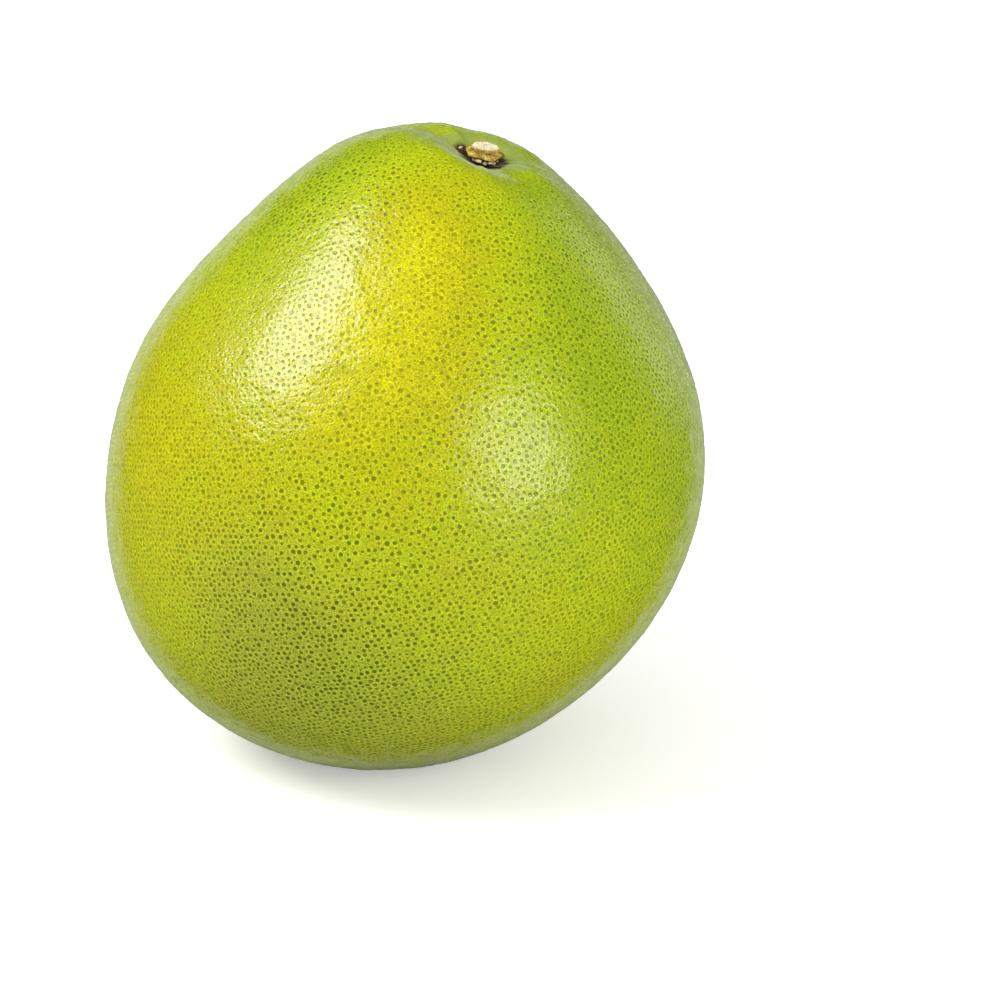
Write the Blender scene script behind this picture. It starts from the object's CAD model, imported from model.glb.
# %% [markdown]
# # An oroblanco
# An oroblanco is a large, pear-shaped citrus fruit, a cross of a pomelo and a grapefruit. This one is
# whole. It stands on its own small flat spot, and its stem end leans a little to one side.
#
# What the eye reads as citrus is the rind: thousands of oil glands, each a small dark dot in a shallow
# dimple, under a thin coat of wax. So most of this lesson is about the rind. The mesh itself is built
# from the glands, one cell of the mesh to each gland, and the dots, the dimples and the broken
# highlights all follow from that. The rest is the dry stem button that sits in the hollow at the top.

import bpy
import numpy as np
from mathutils import Matrix, Vector
from mathutils.geometry import delaunay_2d_cdt


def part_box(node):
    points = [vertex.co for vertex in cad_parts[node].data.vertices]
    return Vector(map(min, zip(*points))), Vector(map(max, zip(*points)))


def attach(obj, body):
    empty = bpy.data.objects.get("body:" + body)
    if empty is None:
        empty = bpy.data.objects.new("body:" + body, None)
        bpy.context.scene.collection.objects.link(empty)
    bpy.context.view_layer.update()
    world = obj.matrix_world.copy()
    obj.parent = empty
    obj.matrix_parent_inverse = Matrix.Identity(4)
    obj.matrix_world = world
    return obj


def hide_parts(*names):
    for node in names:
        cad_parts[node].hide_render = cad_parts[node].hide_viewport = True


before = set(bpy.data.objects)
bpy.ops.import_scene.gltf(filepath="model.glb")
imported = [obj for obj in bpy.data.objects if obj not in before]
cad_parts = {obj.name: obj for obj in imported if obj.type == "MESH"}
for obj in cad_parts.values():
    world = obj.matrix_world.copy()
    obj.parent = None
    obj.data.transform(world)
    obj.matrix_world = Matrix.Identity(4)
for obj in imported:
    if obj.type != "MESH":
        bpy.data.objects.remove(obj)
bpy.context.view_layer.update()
MM = 0.001  # one millimetre, in Blender's metres
print("pieces of the packed model:", sorted(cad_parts))


# %% [markdown]
# ## The camera
# The fruit is seen from its front and from 20 degrees above, through a long lens. A long lens flattens
# perspective, as in product pictures, so near and far parts of the fruit keep their true sizes.
# The camera is aimed a little to the right of the fruit and below it, so the fruit stands left of
# the middle.

# %% Place the camera
CAMERA_HEIGHT_ANGLE = np.radians(20)
CAMERA_DISTANCE = 0.75
PICTURE_WIDTH = 0.2  # how much of the world the picture spans, at the fruit
SENSOR_WIDTH = 36.0
AIM_RIGHT = 0.0204
AIM_DOWN = 0.0096

low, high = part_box("fruit")
CORE_HEIGHT = 61.2  # millimetres, as in the solid model
core = Vector(((low.x + high.x) / 2 - 0.0014, (low.y + high.y) / 2, CORE_HEIGHT * MM))

right = Vector((1, 0, 0))
up = Vector((0, np.sin(CAMERA_HEIGHT_ANGLE), np.cos(CAMERA_HEIGHT_ANGLE)))
towards = Vector((0, -np.cos(CAMERA_HEIGHT_ANGLE), np.sin(CAMERA_HEIGHT_ANGLE)))

lens = bpy.data.cameras.new("camera")
lens.sensor_width = SENSOR_WIDTH
lens.lens = SENSOR_WIDTH * CAMERA_DISTANCE / PICTURE_WIDTH
camera = bpy.data.objects.new("camera", lens)
camera.location = core + CAMERA_DISTANCE * towards + AIM_RIGHT * right - AIM_DOWN * up
camera.rotation_euler = Matrix((right, up, towards)).transposed().to_euler()
bpy.context.collection.objects.link(camera)
bpy.context.scene.camera = camera
print(f"lens {lens.lens:.0f} mm, camera at", [round(v, 3) for v in camera.location])


# %% [markdown]
# ## The light and the floor
# A white table in a white room: the world is plain white, a large softbox hangs over the fruit on its
# left, and a smaller one stands on its right, nearer the camera. Each softbox shows in the wax as one
# broad pale patch, which the dimples break up. A weak one behind the fruit gives it a pale edge.
#
# The room and the table are much darker in the wax than they are to the eye. A real studio has dark
# corners behind its softboxes, and without them the wax would lay a grey veil over the whole rind.
# The standard view transform keeps the whites white.

# %% Light the scene
ROOM_BRIGHTNESS = 0.74  # what the room gives to everything it lights
ROOM_IN_GLOSS = 0.03  # how bright the room shows in the wax: the softboxes are what shows most


def softbox(name, direction, distance, width, height, watts):
    """An area light at distance along direction from the fruit's core, turned to face the core."""
    light = bpy.data.lights.new(name, "AREA")
    light.shape = "RECTANGLE"
    light.size = width
    light.size_y = height
    light.energy = watts
    lamp = bpy.data.objects.new(name, light)
    away = Vector(direction).normalized()
    lamp.location = core + distance * away
    lamp.rotation_euler = away.to_track_quat("Z", "Y").to_euler()
    bpy.context.collection.objects.link(lamp)
    return lamp


softbox("softbox_left", (-0.65, -0.20, 0.75), 0.9, 0.45, 0.52, 6.9)
softbox("softbox_right", (0.64, -0.68, 0.29), 0.8, 0.40, 0.46, 2.8)
softbox("softbox_behind", (0.75, 0.64, 0.20), 0.9, 0.30, 0.70, 0.6)

world = bpy.data.worlds.new("white_room")
world.use_nodes = True
bpy.context.scene.world = world
bpy.context.scene.view_settings.view_transform = "Standard"
bpy.context.scene.view_settings.look = "None"


# %% [markdown]
# ## Two helpers for materials
# Every material here is a small network of nodes. Writing each node on a line of its own keeps the
# network readable, so one helper makes a node with its settings and links its inputs at once.

# %% Helpers for node networks
def set_input(tree, socket, value):
    """Links value to the socket if it is an output of another node, or else stores it there."""
    if isinstance(value, bpy.types.NodeSocket):
        tree.links.new(value, socket)
    else:
        socket.default_value = value


def add_node(tree, kind, inputs=None, **settings):
    """A new node of that kind, with its settings, and its inputs given by name or by number."""
    made = tree.nodes.new(kind)
    for name, value in settings.items():
        setattr(made, name, value)
    for name, value in (inputs or {}).items():
        set_input(tree, made.inputs[name], value)
    return made


def math_node(tree, operation, a, b=0.0, clamp=False):
    """The output of a Math node: a and b joined by that operation."""
    made = add_node(tree, "ShaderNodeMath", {0: a, 1: b}, operation=operation, use_clamp=clamp)
    return made.outputs[0]


def ramp_between(tree, value, low, high, out_low=0.0, out_high=1.0):
    """A smooth step: out_low below low, out_high above high, and an S-curve between them."""
    inputs = {"Value": value, "From Min": low, "From Max": high, "To Min": out_low, "To Max": out_high}
    return add_node(tree, "ShaderNodeMapRange", inputs, interpolation_type="SMOOTHSTEP").outputs[0]


def mix_colour(tree, share, first, second, blend="MIX"):
    """The output of a Mix node between two colours."""
    made = add_node(tree, "ShaderNodeMix", data_type="RGBA", blend_type=blend)
    set_input(tree, made.inputs["Factor"], share)
    set_input(tree, made.inputs[6], first)
    set_input(tree, made.inputs[7], second)
    return made.outputs[2]


def colour_ramp(tree, value, stops):
    """The output of a ColorRamp node whose stops are (position, (red, green, blue))."""
    made = add_node(tree, "ShaderNodeValToRGB", {"Fac": value})
    elements = made.color_ramp.elements
    while len(elements) < len(stops):
        elements.new(0.5)
    for element, (position, colour) in zip(elements, stops):
        element.position = position
        element.color = (*colour, 1)
    return made.outputs["Color"]


def attribute(tree, name):
    """A node that reads a mesh attribute by its name."""
    return add_node(tree, "ShaderNodeAttribute", attribute_name=name)


def new_material(name):
    """An empty material with its output and one Principled BSDF: returns material, tree and shader."""
    material = bpy.data.materials.new(name)
    material.use_nodes = True
    tree = material.node_tree
    return material, tree, tree.nodes["Principled BSDF"]


# %% Colour the room white
tree = world.node_tree
shine = add_node(tree, "ShaderNodeLightPath").outputs["Is Glossy Ray"]
brightness = ramp_between(tree, shine, 0.0, 1.0, ROOM_BRIGHTNESS, ROOM_IN_GLOSS)
set_input(tree, tree.nodes["Background"].inputs["Strength"], brightness)
set_input(tree, tree.nodes["Background"].inputs["Color"], (1, 1, 1, 1))
print("room brightness", ROOM_BRIGHTNESS)


# %% Lay the floor
FLOOR_HALF_WIDTH = 3.0
TABLE_WHITENESS = 0.88
TABLE_IN_GLOSS = 0.04  # how bright the table shows in the wax
OVEREXPOSURE = 0.36  # makes the table look pure white to the camera, but throws no light on the fruit
floor_mesh = bpy.data.meshes.new("floor")
square = np.array([(-1, -1, 0), (1, -1, 0), (1, 1, 0), (-1, 1, 0)]) * FLOOR_HALF_WIDTH
floor_mesh.from_pydata(square.tolist(), [], [(0, 1, 2, 3)])
floor = bpy.data.objects.new("floor", floor_mesh)
bpy.context.collection.objects.link(floor)

floor_material, tree, shader = new_material("white_table")
rays = add_node(tree, "ShaderNodeLightPath")
seen = rays.outputs["Is Camera Ray"]
whiteness = (*3 * (TABLE_WHITENESS,), 1)
in_gloss = (*3 * (TABLE_IN_GLOSS,), 1)
table_colour = mix_colour(tree, rays.outputs["Is Glossy Ray"], whiteness, in_gloss)
set_input(tree, shader.inputs["Base Color"], table_colour)
shader.inputs["Roughness"].default_value = 0.6
shader.inputs["Specular IOR Level"].default_value = 0.2
shader.inputs["Emission Color"].default_value = (1, 1, 1, 1)
set_input(tree, shader.inputs["Emission Strength"], math_node(tree, "MULTIPLY", seen, OVEREXPOSURE))
floor_mesh.materials.append(floor_material)
print("floor", 2 * FLOOR_HALF_WIDTH, "m square")


# %% [markdown]
# ## The fruit's shape
# A fruit like this is nearly a ball, so its surface is written as a radius that changes with direction
# from its core. The radius is a smooth closed curve, the outline seen from the front, turned round the
# stem's axis, with a few broad swells added so that no side is quite like another. At the stem end a
# round hollow and some pleats are added, and at the blossom end a small scar.
#
# The numbers are those of the solid model, so the fine surface lies on the solid one.

# %% The driving dimensions, in millimetres and degrees
STEM_LEAN = 15
OUTLINE_RADII = np.array([
    68.5, 62.5, 59.5, 60.5, 61.5, 61, 60.5, 61.5, 63,
    64, 65.5, 64.5, 60, 56.5, 55, 53.5, 56.5, 66,
])
SWELLS = [  # azimuth, polar angle, spread, height
    (-60, 62, 30, 0.9),
    (-120, 38, 18, 0.7),
    (-92, 34, 12, -0.5),
    (75, 70, 34, 1.3),
    (130, 105, 28, -0.8),
    (40, 125, 26, 0.9),
    (-122, 6.5, 3.2, -0.8),
    (-88, 8.5, 4.5, -1.3),
]
HOLLOW_DEPTH = 5.6
HOLLOW_SPREAD = 6.6
PLEAT_POLAR = 10
PLEATS = [  # azimuth, width, height
    (156, 14, -1.9),
    (-50, 17, -1.2),
    (-118, 34, 0.5),
    (58, 30, 0.5),
    (100, 11, -0.4),
    (8, 13, -0.4),
]
SCAR_DEPTH = 1.8
SCAR_SPREAD = 3.2


# %% The radius in every direction
def direction(azimuth, polar):
    """The unit vector at an azimuth from +X towards +Y, and a polar angle from the stem's axis."""
    a, p = np.radians(azimuth), np.radians(polar)
    return np.stack([np.cos(a) * np.sin(p), np.sin(a) * np.sin(p), np.cos(p) + 0 * a], axis=-1)


def angles_of(directions):
    """Azimuth and polar angle of unit vectors, in degrees: the inverse of direction."""
    x, y, z = np.moveaxis(directions, -1, 0)
    return np.degrees(np.arctan2(y, x)), np.degrees(np.arccos(np.clip(z, -1, 1)))


def bell(cosine, spread):
    """exp((cosine - 1) / spread^2): 1 at a cosine of 1, falling off over the spread in degrees."""
    return np.exp((cosine - 1) / np.radians(spread) ** 2)


def outline_radius(angle):
    """A closed cubic B-spline through evenly spaced control radii, read at an angle round it."""
    place = (angle % 360) / 360 * len(OUTLINE_RADII)
    first = np.floor(place).astype(int)
    t = place - first
    weights = [(1 - t) ** 3, 3 * t**3 - 6 * t**2 + 4, -3 * t**3 + 3 * t**2 + 3 * t + 1, t**3]
    picked = [OUTLINE_RADII[(first + k - 1) % len(OUTLINE_RADII)] for k in range(4)]
    return sum(weight * radius for weight, radius in zip(weights, picked)) / 6


def pleat_height(azimuth, polar):
    """Each pleat's bell round the stem, times a fade that is 0 at the stem and 1 at PLEAT_POLAR."""
    reach = (polar / PLEAT_POLAR) ** 2
    fade = reach * np.exp(1 - reach)
    return sum(h * fade * bell(np.cos(np.radians(azimuth - a)), w) for a, w, h in PLEATS)


def fruit_radius(directions):
    """Outline turned round the stem, plus swells and pleats, less the hollow and the scar."""
    azimuth, polar = angles_of(directions)
    towards_x = 0.5 + 0.5 * np.cos(np.radians(azimuth))
    outline = towards_x * outline_radius(polar) + (1 - towards_x) * outline_radius(-polar)
    swells = sum(h * bell(directions @ direction(a, p), s) for a, p, s, h in SWELLS)
    hollow = HOLLOW_DEPTH * np.exp(-((polar / HOLLOW_SPREAD) ** 2))
    scar = SCAR_DEPTH * np.exp(-(((180 - polar) / SCAR_SPREAD) ** 2))
    return outline + swells + pleat_height(azimuth, polar) - hollow - scar


# %% From directions to points on the skin
lean = np.array(Matrix.Rotation(np.radians(STEM_LEAN), 3, "Y"))
pole = np.array([0.0, 0.0, 1.0])


def on_skin(directions, lift=0.0):
    """Points about the core at the fruit's radius plus lift, leaned with the stem, pressed flat below.

    What would reach below the resting surface is drawn back along its own radius to that surface."""
    reach = (fruit_radius(directions) + lift)[:, None]
    points = (directions * reach) @ lean.T
    depth = np.minimum(points[:, 2], -1e-6)
    sunk = points[:, 2] < -CORE_HEIGHT
    points[sunk] *= (-CORE_HEIGHT / depth[sunk])[:, None]
    points[sunk, 2] = -CORE_HEIGHT
    return points, sunk


coarse_polar, coarse_azimuth = np.meshgrid(np.linspace(0, 180, 181), np.arange(0, 360, 2))
coarse, _ = on_skin(direction(coarse_azimuth.ravel(), coarse_polar.ravel()))
box_middle = np.array((low + high) / 2) / MM
core_place = np.array([
    box_middle[0] - (coarse[:, 0].min() + coarse[:, 0].max()) / 2,
    box_middle[1] - (coarse[:, 1].min() + coarse[:, 1].max()) / 2,
    CORE_HEIGHT,
])
print("the core is at", core_place.round(2), "mm")

# %% Where the stem button sits
BUTTON_LIFT = 0.65
BUTTON_ASIDE = 1.4  # from the middle of the hollow, towards the low side
BUTTON_TILT = 5
BUTTON_LEAN = 8  # the button stands more upright than the stem end it sits in
FAR_OFF = 100  # millimetres

button_turn = np.array(
    Matrix.Rotation(np.radians(BUTTON_LEAN), 3, "Y") @ Matrix.Rotation(np.radians(BUTTON_TILT), 3, "X")
)
button_place = core_place + lean @ np.array([BUTTON_ASIDE, 0, fruit_radius(pole[None])[0] + BUTTON_LIFT])


def from_button(points):
    """How far points lie from the button's axis, in millimetres. The lower half counts as far off."""
    x, y, z = ((points + core_place - button_place) @ button_turn).T
    return np.hypot(x, y) + np.where(z < -CORE_HEIGHT, FAR_OFF, 0)


print("the button is at", button_place.round(2), "mm")


# %% [markdown]
# ## The oil glands
# The glands are spread all over the rind, close to evenly but never in rows. A golden-angle spiral puts
# points evenly on a ball. The points are drawn together where the real glands are small and crowded,
# at the stem end and the blossom end, each is then pushed a random step aside, and a few rounds of
# relaxing even the gaps out again. Relaxing moves each point to the middle of the corners of its cell.
#
# The cells come from joining each gland to its neighbours in triangles, the Delaunay way. Blender can do
# that on a plane. A stereographic map lays the ball out flat, seen from its blossom pole, and it keeps
# circles as circles, so the flat triangles are the right ones on the ball too. A last gland sits at
# the blossom pole itself, and it closes the ball there. Each triangle, seen from the core, gives one
# corner where three cells meet.

# %% Spread the glands
GLAND_COUNT = 32400
GLAND_JITTER = 0.36
RELAXING_ROUNDS = 3
RELAXING_STEP = 0.6
CROWDING = [  # azimuth, polar angle, spread, how strongly the glands are drawn there
    (0, 0, 9, 0.75),
    (-100, 60, 26, -0.10),
    (-20, 65, 30, 0.06),
    (-50, 26, 17, 0.30),
    (-110, 130, 30, 0.08),
    (0, 180, 12, 0.30),
]
random = np.random.default_rng(11)


def unit(vectors):
    """The same vectors at a length of 1."""
    return vectors / np.linalg.norm(vectors, axis=-1, keepdims=True)


def golden_spiral(count):
    """Evenly spaced directions: equal steps down in height, each turned on by the golden angle."""
    step = np.arange(count) + 0.5
    height = 1 - 2 * step / count
    turn = np.pi * (1 + np.sqrt(5)) * step
    around = np.sqrt(1 - height**2)
    return np.stack([around * np.cos(turn), around * np.sin(turn), height], axis=1)


def ball_triangles(directions):
    """Delaunay triangles of points on a ball, of which the last is the blossom pole, facing outwards.

    The stereographic map is (x, y) / (1 + z). Its triangles cover all but a hole round the pole, and
    every edge of that hole makes one more triangle with the pole."""
    count = len(directions)
    flat = directions[:-1, :2] / (1 + directions[:-1, 2:])
    triangles = np.array(delaunay_2d_cdt(flat.tolist(), [], [], 0, 0.0)[2])
    sides = np.concatenate([triangles[:, [0, 1]], triangles[:, [1, 2]], triangles[:, [2, 0]]])
    lone = ~np.isin(sides[:, 1] * count + sides[:, 0], sides[:, 0] * count + sides[:, 1])
    hole = sides[lone]
    closing = np.stack([hole[:, 1], hole[:, 0], np.full(len(hole), count - 1)], axis=1)
    return np.concatenate([triangles, closing])


def cell_corners(directions, triangles):
    """The direction square to each triangle, where the three cells round it meet."""
    a, b, c = (directions[triangles[:, k]] for k in range(3))
    return unit(np.cross(b - a, c - a))


glands = golden_spiral(GLAND_COUNT)
glands = unit(glands + random.normal(0, GLAND_JITTER * np.sqrt(4 / GLAND_COUNT), glands.shape))
for azimuth, polar, spread, pull in CROWDING:
    centre = direction(azimuth, polar)
    glands = unit(glands + pull * bell(glands @ centre, spread)[:, None] * centre)
glands[-1] = -pole

for _ in range(RELAXING_ROUNDS):
    triangles = ball_triangles(glands)
    corners = cell_corners(glands, triangles)
    total = np.zeros_like(glands)
    for k in range(3):
        np.add.at(total, triangles[:, k], corners)
    glands = unit(glands + RELAXING_STEP * (unit(total) - glands))
    glands[-1] = -pole

triangles = ball_triangles(glands)
corners = cell_corners(glands, triangles)
print(len(glands), "glands,", len(triangles), "cell corners")


# %% [markdown]
# ## Large glands and small ones
# Large glands stand apart from each other, with small ones between them. So the large ones are chosen
# by a contest: every gland draws a lot, and it is large if its lot beats those of all the glands near
# it. The beaten ones are out, and the rest draw on, until every gland is large or has a large one near.

# %% Choose the large glands
LARGE_SPACING = 1.06  # millimetres between two large glands, at the least
SPARSE_CENTRE = (-100, 55)  # azimuth and polar angle round which the large glands stand wider apart
SPARSE_SPREAD = 26
SPARSE_SHARE = 0.30
CONTEST_ROUNDS = 8
LARGE_RADIUS = 0.42
LARGE_SPREAD = 0.06
SMALL_RADII = (0.12, 0.32)
ROOM_SHARE = 0.92  # of the way to the middle between a gland and its nearest neighbour
SHRUNK_SIZE = 0.6  # of the glands at the stem end
SHRUNK_WITHIN = 8  # degrees from the stem
SHRINKING_OVER = 20  # more degrees, out to where the glands have their full size

gland_place, gland_pressed = on_skin(glands)
one, other = np.concatenate([triangles[:, [0, 1]], triangles[:, [1, 2]], triangles[:, [2, 0]]]).T
length = np.linalg.norm(gland_place[one] - gland_place[other], axis=1)
sparse = 1 + SPARSE_SHARE * bell(glands[one] @ direction(*SPARSE_CENTRE), SPARSE_SPREAD)
near = length < LARGE_SPACING * sparse

lot = random.random(len(glands))
undecided = np.ones(len(glands), dtype=bool)
large = np.zeros(len(glands), dtype=bool)
for _ in range(CONTEST_ROUNDS):
    rivals = near & undecided[one] & undecided[other]
    best_rival = np.full(len(glands), -1.0)
    np.maximum.at(best_rival, one[rivals], lot[other[rivals]])
    winners = undecided & (lot > best_rival)
    large |= winners
    undecided &= ~winners
    undecided[one[near & winners[other]]] = False

room = np.full(len(glands), np.inf)
np.minimum.at(room, one, length / 2)
gland_radius = np.where(
    large,
    random.normal(LARGE_RADIUS, LARGE_SPREAD, len(glands)),
    random.uniform(*SMALL_RADII, len(glands)),
)
from_stem = np.clip((angles_of(glands)[1] - SHRUNK_WITHIN) / SHRINKING_OVER, 0, 1)
gland_radius *= SHRUNK_SIZE + (1 - SHRUNK_SIZE) * from_stem
gland_radius = np.minimum(gland_radius, np.maximum(ROOM_SHARE * room, SMALL_RADII[0]))
print(large.sum(), "large glands, mean spacing of neighbours", length.mean().round(2), "mm")


# %% [markdown]
# ## The rind's mesh
# Each gland's cell is a fan of triangles: the gland's middle is one vertex, and the corners where it
# meets its neighbours are the others. The middle is sunk and the corners stand a little proud, so
# every gland is a real dimple, and the skin's edge against the light is finely bumpy.
#
# Two triangles share each edge, from gland a to gland b. The two corners at those triangles, with a,
# make one triangle of a's fan, and with b one of b's, so all the fans come from the list of edges.
#
# Where four cells all but meet in one point, two corners lie very close together. A step between them
# would be a tiny cliff that glints, so close corners are brought to one height.
#
# The skin also swells softly here and there, by less than a tenth of a millimetre. Without that a
# softbox would show in it as one clean patch, as it would in plastic.

# %% Build the rind
DIMPLE_DEPTH = 0.30  # of a gland's radius
CORNER_HEIGHTS = (0.0, 0.13)
CLOSE_CORNERS = 0.25  # millimetres: corners nearer than this are brought to one height
LEVELLING_ROUNDS = 4
UNEVEN_WAVES = 40
UNEVEN_LENGTHS = (5.0, 16.0)  # millimetres from crest to crest
UNEVEN_HEIGHT = 0.009
FINE_PLEATS = [(9, 0.3, 0.05), (14, 1.9, 0.05), (23, 0.8, 0.05), (37, 2.6, 0.045)]  # count, phase, height


def unevenness(points):
    """The sum of many faint plane waves, each with a random course, length and phase."""
    course = unit(random_waves.normal(size=(UNEVEN_WAVES, 3)))
    wavelength = random_waves.uniform(*UNEVEN_LENGTHS, UNEVEN_WAVES)
    phase = random_waves.uniform(0, 2 * np.pi, UNEVEN_WAVES)
    return UNEVEN_HEIGHT * np.sin(2 * np.pi * (points @ course.T) / wavelength + phase).sum(axis=1)


def fine_pleats(directions):
    """Waves round the stem's axis, each a sine of count times the azimuth, strongest at 7 degrees."""
    azimuth, polar = angles_of(directions)
    reach = (polar / 7) ** 2
    fade = reach * np.exp(1 - reach)
    turn = np.radians(azimuth + 0.8 * polar * np.sin(np.radians(3 * azimuth)))
    return fade * sum(h * np.sin(count * turn + phase) for count, phase, h in FINE_PLEATS)


directions = np.concatenate([glands, corners])
random_waves = np.random.default_rng(23)
smooth_points, _ = on_skin(directions)
lift = unevenness(smooth_points) + fine_pleats(directions)

count = len(triangles)
edge_from = triangles.ravel()
edge_to = np.roll(triangles, -1, axis=1).ravel()
own_corner = np.repeat(np.arange(count), 3) + len(glands)
order = np.argsort(edge_from * len(glands) + edge_to)
twin_of = np.empty(3 * count, dtype=np.int64)
twin_of[np.argsort(edge_to * len(glands) + edge_from)] = order

corner_points = smooth_points[len(glands) :]
beside = twin_of.reshape(-1, 3) // 3
apart = np.linalg.norm(corner_points[:, None] - corner_points[beside], axis=2)
nearness = np.exp(-((apart / CLOSE_CORNERS) ** 2))
rim = random.uniform(*CORNER_HEIGHTS, count)
for _ in range(LEVELLING_ROUNDS):
    rim = (rim + (nearness * rim[beside]).sum(axis=1)) / (1 + nearness.sum(axis=1))
lift[: len(glands)] -= DIMPLE_DEPTH * gland_radius
lift[len(glands) :] += rim
skin_points, pressed = on_skin(directions, lift)
faces = np.stack([edge_from, own_corner[twin_of], own_corner], axis=1)


def mesh_object(name, points, faces, smooth=True):
    """An object at the origin whose mesh has these points, in millimetres, and these faces."""
    mesh = bpy.data.meshes.new(name)
    mesh.from_pydata((points * MM).tolist(), [], faces.tolist())
    mesh.polygons.foreach_set("use_smooth", np.full(len(mesh.polygons), smooth))
    mesh.update()
    made = bpy.data.objects.new(name, mesh)
    bpy.context.collection.objects.link(made)
    return made


def store(made, name, values, domain="POINT"):
    """Stores one number or one vector for each point, or each face, as a mesh attribute."""
    kind, key = ("FLOAT_VECTOR", "vector") if values.ndim == 2 else ("FLOAT", "value")
    layer = made.data.attributes.new(name, kind, domain)
    layer.data.foreach_set(key, values.astype(np.float32).ravel())


rind = mesh_object("rind", skin_points + core_place, faces)
store(rind, "gland_centre", (skin_points[faces[:, 0]] + core_place) * MM, "FACE")
store(rind, "gland_radius", gland_radius[faces[:, 0]] * MM, "FACE")
store(rind, "gland_tone", random.random(len(glands))[faces[:, 0]], "FACE")
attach(rind, "root")
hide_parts("fruit")
print("rind:", len(rind.data.vertices), "points,", len(rind.data.polygons), "triangles")


# %% [markdown]
# ## Ripeness
# The fruit is yellow where it is ripest and green where it isn't, and the two meet in broad, soft
# patches. Each patch is a bell on the ball of directions, and together they give every point of the
# rind a ripeness from 0 to 1. More sets mark where the rind is dull, olive and a little grey, where its
# dots are darker, and where the collar round the stem spreads.

# %% Paint ripeness, dullness and the collar
RIPE_BASE = 0.42
RIPE_PATCHES = [  # azimuth, polar angle, spread, amount
    (-105, 22, 12, 0.35),
    (-103, 38, 16, 0.42),
    (-97, 58, 18, 0.25),
    (-145, 88, 24, 0.24),
    (-45, 35, 24, -0.38),
    (-20, 60, 26, -0.30),
    (-62, 20, 9, -0.14),
    (60, 50, 40, -0.20),
    (-150, 22, 10, -0.30),
    (-153, 42, 15, -0.30),
    (-95, 130, 24, -0.20),
    (110, 95, 30, 0.22),
    (20, 120, 26, 0.12),
]
DULL_PATCHES = [  # where the rind is dull and olive
    (-136, 50, 16, 0.36),
    (-113, 105, 12, 0.50),
    (-90, 138, 20, 0.90),
    (-30, 120, 30, 0.35),
    (100, 140, 30, 0.45),
]
STRENGTH_BASE = 0.42  # how dark the dots are
STRENGTH_PATCHES = [  # where they are darker, or fainter
    (-100, 88, 30, 0.35),
    (-100, 118, 18, 0.40),
    (-75, 48, 10, 0.25),
    (-72, 60, 9, -0.15),
    (-50, 28, 14, 0.18),
    (-136, 50, 12, -0.08),
    (-140, 120, 14, -0.15),
    (-138, 28, 11, 0.40),
    (60, 110, 40, 0.25),
]
COLLAR_START, COLLAR_END = 5.5, 10.5  # millimetres from the button's axis
COLLAR_PATCHES = [  # where the dull collar reaches further out, along the pleats
    (-152, 10.5, 3.5, 0.7),
    (165, 11, 4, 0.6),
    (0, 13, 5, 0.5),
    (80, 12, 7, 0.5),
]
CORK_START, CORK_END = 3.9, 5.6  # the dark cork close round the button
CORK_PATCH = (142, 3.9, 1.1, 1.0)  # and the small hole beside it


def patches(directions, table):
    """The sum of bells at each direction: amount times exp((cosine - 1) / spread^2)."""
    return sum(amount * bell(directions @ direction(a, p), s) for a, p, s, amount in table)


aside = from_button(skin_points)
collar = 1 - (aside - COLLAR_START) / (COLLAR_END - COLLAR_START)
cork = 1 - (aside - CORK_START) / (CORK_END - CORK_START)
store(rind, "collar", np.clip(collar, 0, 1) + patches(directions, COLLAR_PATCHES))
store(rind, "cork", np.clip(cork, 0, 1) + patches(directions, [CORK_PATCH]))
azimuth, polar = angles_of(directions)
store(rind, "gland_strength", STRENGTH_BASE + patches(directions, STRENGTH_PATCHES))
store(rind, "ripeness", np.clip(RIPE_BASE + patches(directions, RIPE_PATCHES), 0, 1))
store(rind, "dullness", np.clip(patches(directions, DULL_PATCHES), 0, 1))
store(rind, "from_blossom", 180 - polar)
print("ripeness set on", len(polar), "points")


# %% [markdown]
# ## The rind's finish
# The colour runs from green to yellow along the ripeness, with two sizes of mottling laid over it.
# Each gland is a darker, greener dot with a soft edge: a point's distance from the middle of its own
# gland, over that gland's radius, is all that the dot needs. The same distance makes a faint pale ring
# round the dot, and gives the dimple a sharper bottom as bump.
#
# Near the stem the rind turns to its dull collar, and to dark cork close round the button. Where it turns
# away from the eye the bloom on it looks paler. The wax is a thin coat over skin that lets a little
# light in, and a fine unevenness in it breaks the light of the softboxes into many small glints.

# %% A shader group for mottling
def new_group(name, inputs, outputs):
    """An empty shader node group with the given sockets: returns its tree, inputs and outputs."""
    group = bpy.data.node_groups.new(name, "ShaderNodeTree")
    for socket, kind in inputs:
        group.interface.new_socket(name=socket, in_out="INPUT", socket_type=kind)
    for socket, kind in outputs:
        group.interface.new_socket(name=socket, in_out="OUTPUT", socket_type=kind)
    return group, group.nodes.new("NodeGroupInput"), group.nodes.new("NodeGroupOutput")


mottling, given, result = new_group(
    "mottling",
    [("Scale", "NodeSocketFloat"), ("Amount", "NodeSocketFloat")],
    [("Shift", "NodeSocketFloat"), ("Fine", "NodeSocketFloat")],
)
place = add_node(mottling, "ShaderNodeTexCoord").outputs["Object"]
broad_noise = {"Vector": place, "Scale": given.outputs["Scale"], "Detail": 3.0}
broad = add_node(mottling, "ShaderNodeTexNoise", broad_noise)
fine_scale = math_node(mottling, "MULTIPLY", given.outputs["Scale"], 7.0)
fine = add_node(mottling, "ShaderNodeTexNoise", {"Vector": place, "Scale": fine_scale, "Detail": 2.0})
centred = math_node(mottling, "SUBTRACT", broad.outputs[0], 0.5)
shift = math_node(mottling, "MULTIPLY", centred, given.outputs["Amount"])
mottling.links.new(shift, result.inputs["Shift"])
mottling.links.new(fine.outputs[0], result.inputs["Fine"])
print("mottling group:", len(mottling.nodes), "nodes")


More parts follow.
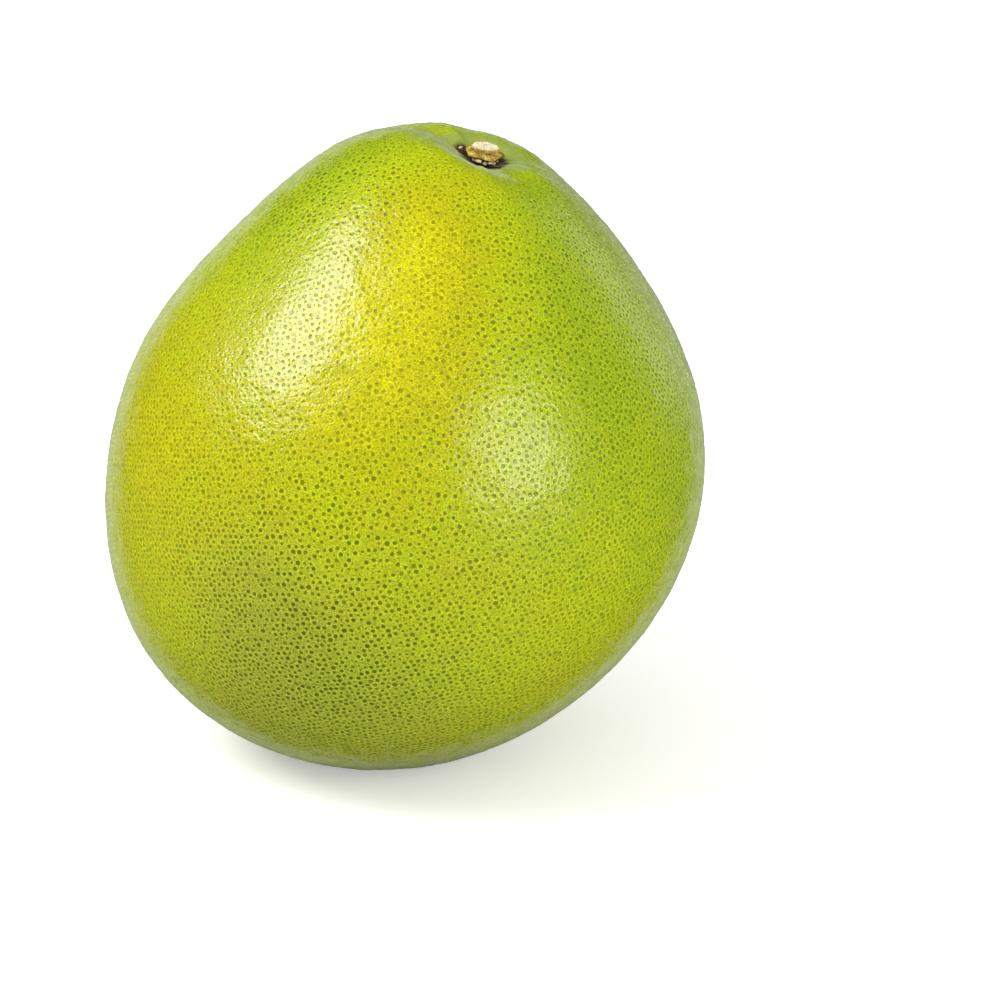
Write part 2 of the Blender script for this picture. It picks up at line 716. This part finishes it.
def add_mottling(tree, scale, amount):
    """Places the mottling group in a material: outputs Shift, about 0, and Fine, about a half."""
    made = add_node(tree, "ShaderNodeGroup", node_tree=mottling)
    made.inputs["Scale"].default_value = scale
    made.inputs["Amount"].default_value = amount
    return made


# %% The rind's material
SKIN_STOPS = [  # ripeness, and the skin's colour there
    (0.0, (0.255, 0.368, 0.004)),
    (0.35, (0.362, 0.428, 0.001)),
    (0.65, (0.386, 0.376, 0.0005)),
    (1.0, (0.545, 0.505, 0.0005)),
]
GLAND_STOPS = [  # ripeness, and the colour of the dots there
    (0.0, (0.050, 0.090, 0.002)),
    (0.5, (0.095, 0.115, 0.001)),
    (1.0, (0.240, 0.225, 0.001)),
]
DULL_COLOUR = (0.225, 0.235, 0.032, 1)
COLLAR_COLOUR = (0.255, 0.320, 0.085, 1)
CORK_COLOUR = (0.075, 0.042, 0.014, 1)
BLOOM_COLOUR = (0.650, 0.735, 0.400, 1)  # the wax looks paler where the skin turns away

BLOSSOM_SCAR = (2.4, 4.4)  # degrees: the cork of the scar fades from the first to the second
GLINT_SCALE = 1100.0  # the unevenness of the wax, in noise cells to a metre
GLINT_SHARE = 2.5  # of the depth of a dimple's bump
BUMP_DEPTH = 0.06  # millimetres

material, tree, shader = new_material("waxy_rind")
rind.data.materials.append(material)
place = add_node(tree, "ShaderNodeTexCoord").outputs["Object"]
patch = add_mottling(tree, 75.0, 0.5)
speckle = add_mottling(tree, 420.0, 0.5)

ripeness = math_node(tree, "ADD", attribute(tree, "ripeness").outputs["Fac"], patch.outputs["Shift"])
ripeness = math_node(tree, "ADD", ripeness, speckle.outputs["Shift"])
dull = math_node(tree, "ADD", attribute(tree, "dullness").outputs["Fac"], patch.outputs["Shift"])
dull = math_node(tree, "MULTIPLY", ramp_between(tree, dull, 0.12, 0.9), 0.6)

middle = attribute(tree, "gland_centre").outputs["Vector"]
from_middle = add_node(tree, "ShaderNodeVectorMath", {0: place, 1: middle}, operation="DISTANCE")
radius = attribute(tree, "gland_radius").outputs["Fac"]
reach = math_node(tree, "DIVIDE", from_middle.outputs["Value"], radius)
wobble = math_node(tree, "MULTIPLY", speckle.outputs["Shift"], 0.6)
reach = math_node(tree, "ADD", reach, wobble)
dot = ramp_between(tree, reach, 0.72, 1.18, 1.0, 0.0)
halo_start = ramp_between(tree, reach, 1.0, 1.3)
halo_end = ramp_between(tree, reach, 1.3, 1.9, 1.0, 0.0)
halo = math_node(tree, "MULTIPLY", halo_start, halo_end)
large_share = ramp_between(tree, radius, 0.10 * MM, 0.42 * MM, 0.35, 1.0)
tone = math_node(tree, "MULTIPLY_ADD", attribute(tree, "gland_tone").outputs["Fac"], 0.35)
tone.node.inputs[2].default_value = 0.68
ragged = math_node(tree, "ADD", speckle.outputs["Shift"], patch.outputs["Shift"])
collar = math_node(tree, "ADD", attribute(tree, "collar").outputs["Fac"], ragged)
collar = ramp_between(tree, collar, 0.32, 0.80)
dot_share = math_node(tree, "MULTIPLY", math_node(tree, "MULTIPLY", dot, large_share), tone)
dot_share = math_node(tree, "MULTIPLY", dot_share, attribute(tree, "gland_strength").outputs["Fac"])
bare = math_node(tree, "MULTIPLY", collar, 0.55)
dot_share = math_node(tree, "MULTIPLY", dot_share, math_node(tree, "SUBTRACT", 1.0, bare), clamp=True)

skin = colour_ramp(tree, ripeness, SKIN_STOPS)
skin = mix_colour(tree, dull, skin, DULL_COLOUR)
skin = mix_colour(tree, math_node(tree, "MULTIPLY", halo, 0.30), skin, (0.64, 0.66, 0.008, 1))
glow = ramp_between(tree, speckle.outputs["Fine"], 0.3, 0.7, 0.70, 1.30)
lit = add_node(tree, "ShaderNodeVectorMath", {0: skin}, operation="SCALE")
set_input(tree, lit.inputs["Scale"], glow)
skin = lit.outputs[0]
spots = colour_ramp(tree, ripeness, GLAND_STOPS)
colour = mix_colour(tree, dot_share, skin, spots)
colour = mix_colour(tree, math_node(tree, "MULTIPLY", collar, 0.65), colour, COLLAR_COLOUR)
cork = math_node(tree, "ADD", attribute(tree, "cork").outputs["Fac"], speckle.outputs["Shift"])
cork = ramp_between(tree, cork, 0.2, 0.9)
from_blossom = attribute(tree, "from_blossom").outputs["Fac"]
scar = ramp_between(tree, from_blossom, *BLOSSOM_SCAR, 1.0, 0.0)
colour = mix_colour(tree, math_node(tree, "MAXIMUM", cork, scar), colour, CORK_COLOUR)
facing = add_node(tree, "ShaderNodeLayerWeight", {"Blend": 0.5}).outputs["Facing"]
facing = math_node(tree, "ADD", facing, math_node(tree, "MULTIPLY", speckle.outputs["Shift"], 0.4))
bloom = ramp_between(tree, facing, 0.62, 0.95, 0.0, 0.72)
colour = mix_colour(tree, bloom, colour, BLOOM_COLOUR)
tree.links.new(colour, shader.inputs["Base Color"])

roughness = math_node(tree, "MULTIPLY_ADD", math_node(tree, "MAXIMUM", cork, scar), 0.4)
roughness.node.inputs[2].default_value = 0.33
tree.links.new(roughness, shader.inputs["Roughness"])

pit = ramp_between(tree, reach, 0.2, 1.15)
grain = add_node(tree, "ShaderNodeTexNoise", {"Vector": place, "Scale": GLINT_SCALE, "Detail": 2.0})
height = math_node(tree, "MULTIPLY_ADD", grain.outputs[0], GLINT_SHARE)
tree.links.new(pit, height.node.inputs[2])
bump_settings = {"Height": height, "Strength": 0.9, "Distance": BUMP_DEPTH * MM}
bump = add_node(tree, "ShaderNodeBump", bump_settings)
tree.links.new(bump.outputs[0], shader.inputs["Normal"])
tree.links.new(bump.outputs[0], shader.inputs["Coat Normal"])

shader.inputs["Subsurface Weight"].default_value = 0.12
shader.inputs["Subsurface Radius"].default_value = (0.9, 1.0, 0.25)
shader.inputs["Subsurface Scale"].default_value = 1.2 * MM
shader.inputs["Specular IOR Level"].default_value = 0.08
shader.inputs["Coat Weight"].default_value = 0.95
shader.inputs["Coat Roughness"].default_value = 0.21
print("rind material:", len(tree.nodes), "nodes")


# %% [markdown]
# ## The stem button
# Where the fruit hung from its twig, the dry calyx stays: a corky disc of five worn sepals on a short
# neck, and on it the cut stub of the stalk, pale inside and a little fibrous. It is built round an
# axis of its own, more upright than the stem end, a little to the low side of the hollow and tipped
# forwards.
#
# Both are surfaces turned round that axis, a profile of radius and height, bent out of round by waves
# of the azimuth. Waves with a whole number of crests close on themselves, so no seam shows.

# %% A helper for turned pieces
BUTTON_RADIUS = 3.6
AROUND = 144


def to_button(points):
    """Points in the button's own frame, whose z is its own axis, moved to their place on the fruit."""
    return points @ button_turn.T + button_place


def closed_faces(rows, columns):
    """The triangles of a closed surface: a first point, rows of columns points, and a last point."""
    row, column = np.meshgrid(np.arange(rows - 1), np.arange(columns), indexing="ij")
    following = (column + 1) % columns
    a, b = (1 + row * columns + column).ravel(), (1 + row * columns + following).ravel()
    c, d = a + columns, b + columns
    ring = np.arange(columns)
    after = (ring + 1) % columns
    last = 1 + rows * columns
    first_cap = np.stack([0 * ring, 1 + after, 1 + ring], axis=1)
    last_cap = np.stack([0 * ring + last, last - columns + ring, last - columns + after], axis=1)
    return np.concatenate([first_cap, np.stack([a, b, d], 1), np.stack([a, d, c], 1), last_cap])


def turned(name, profile, bend, smoothing=6):
    """A closed piece turned round the z axis from a profile of (radius, height) from foot to top.

    The profile is read at even steps along its length, and bend(radius, height, turn) gives the
    bent radius and height at each step and each angle round."""
    knots = np.array(profile, dtype=float)
    run = np.concatenate([[0], np.cumsum(np.linalg.norm(np.diff(knots, axis=0), axis=1))])
    steps = np.linspace(0, run[-1], len(profile) * smoothing + 1)[1:-1]
    radius, height = (np.interp(steps, run, knots[:, k])[:, None] for k in range(2))
    turn = np.linspace(0, 2 * np.pi, AROUND, endpoint=False)[None, :]
    reach, level = bend(radius, height, turn)
    around = np.stack([reach * np.cos(turn), reach * np.sin(turn), level], axis=-1).reshape(-1, 3)
    ends = [np.array([[0, 0, level[k].mean()]]) for k in (0, -1)]
    points = np.concatenate([ends[0], around, ends[1]])
    made = mesh_object(name, to_button(points), closed_faces(len(steps), AROUND))
    store(made, "axis_place", points)
    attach(made, "root")
    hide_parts("stem_button")
    print(name, "has", len(made.data.polygons), "triangles")
    return made


# %% The calyx
CALYX_PROFILE = [
    (0, -0.9), (1.5, -0.8), (1.9, 0.2), (2.0, 1.1), (2.6, 1.45), (3.3, 1.6), (3.62, 1.85),
    (3.62, 2.15), (3.3, 2.5), (2.8, 2.7), (2.3, 2.75), (1.2, 2.7), (0, 2.7),
]


def bend_calyx(radius, height, turn):
    """Five worn sepals reach out and droop, finer waves fray the rim, and short folds crease the top."""
    share = radius / BUTTON_RADIUS
    sepals = 0.055 * np.cos(5 * turn - 0.35) + 0.035 * np.cos(2 * turn + 0.6)
    frayed = 0.020 * np.cos(13 * turn + 1.0) + 0.013 * np.cos(21 * turn + 2.0) + 0.010 * np.cos(34 * turn)
    droop = 0.16 * np.cos(5 * turn + 2.4) + 0.10 * np.cos(3 * turn + 1.2)
    folds = 0.05 * np.cos(17 * turn + 3 * share) + 0.04 * np.cos(29 * turn - 5 * share)
    return radius * (1 + (sepals + frayed) * share**2), height + (droop + folds) * share**2


calyx = turned("calyx", CALYX_PROFILE, bend_calyx)

# %% The cut stub
STUB_PROFILE = [
    (0, 2.3), (2.1, 2.35), (2.42, 2.7), (2.5, 3.1),
    (2.4, 3.42), (2.15, 3.58), (1.3, 3.56), (0, 3.5),
]
STUB_RADIUS = 2.6


def bend_stub(radius, height, turn):
    """An oval stub with a wavy bark, and a cut face that is scored by fibres and chipped at its rim."""
    share = radius / STUB_RADIUS
    oval = 0.07 * np.cos(2 * turn) + 0.03 * np.cos(3 * turn + 0.9) + 0.018 * np.cos(9 * turn + 2.2)
    fibres = 0.05 * np.sin(19 * turn + 7 * share) + 0.04 * np.sin(31 * turn - 4 * share)
    chip = -0.22 * np.maximum(np.cos(turn - 0.9), 0) ** 24
    small_chip = -0.16 * np.maximum(np.cos(turn - 1.9), 0) ** 30
    cut = np.clip((height - 3.3) / 0.2, 0, 1)
    return radius * (1 + oval * share), height + cut * (fibres * share + (chip + small_chip) * share**3)


stub = turned("cut_stub", STUB_PROFILE, bend_stub)

# %% Torn fibres round the neck
FLAKES = [  # angle round the axis in degrees, distance from it, height, length, width, thickness
    (-112, 2.95, 1.15, 1.50, 0.60, 0.75),
    (-86, 2.80, 0.80, 0.90, 0.50, 0.70),
    (-66, 3.00, 1.05, 0.95, 0.45, 0.60),
    (-47, 2.85, 0.80, 1.00, 0.45, 0.60),
    (-134, 2.85, 1.00, 0.70, 0.40, 0.50),
    (-28, 2.95, 1.10, 0.60, 0.35, 0.40),
    (157, 5.10, 1.70, 1.10, 0.60, 0.50),
]
FLAKE_ROWS, FLAKE_COLUMNS = 10, 16


def flake(angle, distance, height, length, width, thickness, phase):
    """An ellipsoid roughened by waves of its own directions, lying across the axis at its place."""
    polar, turn = np.meshgrid(
        np.linspace(0, np.pi, FLAKE_ROWS + 2)[1:-1],
        np.linspace(0, 2 * np.pi, FLAKE_COLUMNS, endpoint=False),
        indexing="ij",
    )
    around = direction(np.degrees(turn), np.degrees(polar))
    ball = np.concatenate([[pole], around.reshape(-1, 3), [-pole]])
    lumps = 0.16 * np.sin(5 * ball @ np.array([1, 2, 0.5]) + phase)
    nicks = 0.10 * np.cos(9 * ball[:, 1] + 2 * phase)
    shaped = ball * (1 + lumps + nicks)[:, None] * np.array([width, length, thickness]) / 2
    a = np.radians(angle)
    turned_round = np.array([[np.cos(a), -np.sin(a), 0], [np.sin(a), np.cos(a), 0], [0, 0, 1]])
    return (shaped + np.array([distance, 0, height])) @ turned_round.T


flake_points = [flake(*sizes, phase=1.7 * k) for k, sizes in enumerate(FLAKES)]
flake_faces = closed_faces(FLAKE_ROWS, FLAKE_COLUMNS)[:, ::-1]
all_faces = np.concatenate([flake_faces + k * len(flake_points[0]) for k in range(len(FLAKES))])
fibres = mesh_object("torn_fibres", to_button(np.concatenate(flake_points)), all_faces)
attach(fibres, "root")
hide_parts("stem_button")
print("torn fibres:", len(fibres.data.polygons), "triangles")


# %% [markdown]
# ## The dry stem's finish
# The calyx is cork: tan on its worn crests and dark brown in its folds. The stub shows pale wood where
# it was cut and bark round its side. Both read the same mottling group as the rind, at their own
# scale, and their own height along the button's axis.

# %% Cork, wood and fibre
def height_on_axis(tree):
    """The output that gives a point's height along the button's axis, in millimetres."""
    place = attribute(tree, "axis_place").outputs["Vector"]
    return add_node(tree, "ShaderNodeSeparateXYZ", {0: place}).outputs[2]


def dry_material(name, stops, scale, roughness, bump_depth):
    """A dry, matt finish: a colour ramp along mottled noise, with the same noise as grain."""
    material, tree, shader = new_material(name)
    patch = add_mottling(tree, scale, 1.6)
    value = math_node(tree, "ADD", patch.outputs["Shift"], patch.outputs["Fine"])
    set_input(tree, shader.inputs["Base Color"], colour_ramp(tree, value, stops))
    shader.inputs["Roughness"].default_value = roughness
    shader.inputs["Specular IOR Level"].default_value = 0.25
    settings = {"Height": value, "Strength": 0.8, "Distance": bump_depth * MM}
    bump = add_node(tree, "ShaderNodeBump", settings)
    set_input(tree, shader.inputs["Normal"], bump.outputs[0])
    return material, tree, shader, value


CORK_STOPS = [
    (0.15, (0.070, 0.032, 0.006)),
    (0.36, (0.270, 0.155, 0.022)),
    (0.58, (0.470, 0.330, 0.050)),
    (0.86, (0.680, 0.550, 0.180)),
]
BARK_STOPS = [(0.2, (0.170, 0.090, 0.020)), (0.5, (0.430, 0.300, 0.070)), (0.8, (0.600, 0.480, 0.190))]
PALE_STOPS = [(0.2, (0.350, 0.240, 0.100)), (0.42, (0.620, 0.520, 0.310)), (0.75, (0.740, 0.680, 0.490))]

material, tree, shader, value = dry_material("calyx_cork", CORK_STOPS, 520.0, 0.8, 0.12)
calyx.data.materials.append(material)
shaded = ramp_between(tree, height_on_axis(tree), 1.25, 1.9, 1.0, 0.0)
colour = mix_colour(tree, shaded, colour_ramp(tree, value, CORK_STOPS), (0.045, 0.020, 0.008, 1))
set_input(tree, shader.inputs["Base Color"], colour)

material, tree, shader, value = dry_material("cut_wood", BARK_STOPS, 700.0, 0.75, 0.08)
stub.data.materials.append(material)
cut = ramp_between(tree, height_on_axis(tree), 3.30, 3.50)
colour = mix_colour(tree, cut, colour_ramp(tree, value, BARK_STOPS), colour_ramp(tree, value, PALE_STOPS))
set_input(tree, shader.inputs["Base Color"], colour)

material, tree, shader, value = dry_material("pale_fibre", PALE_STOPS, 900.0, 0.8, 0.08)
fibres.data.materials.append(material)
print("dry materials:", [m.name for m in bpy.data.materials])
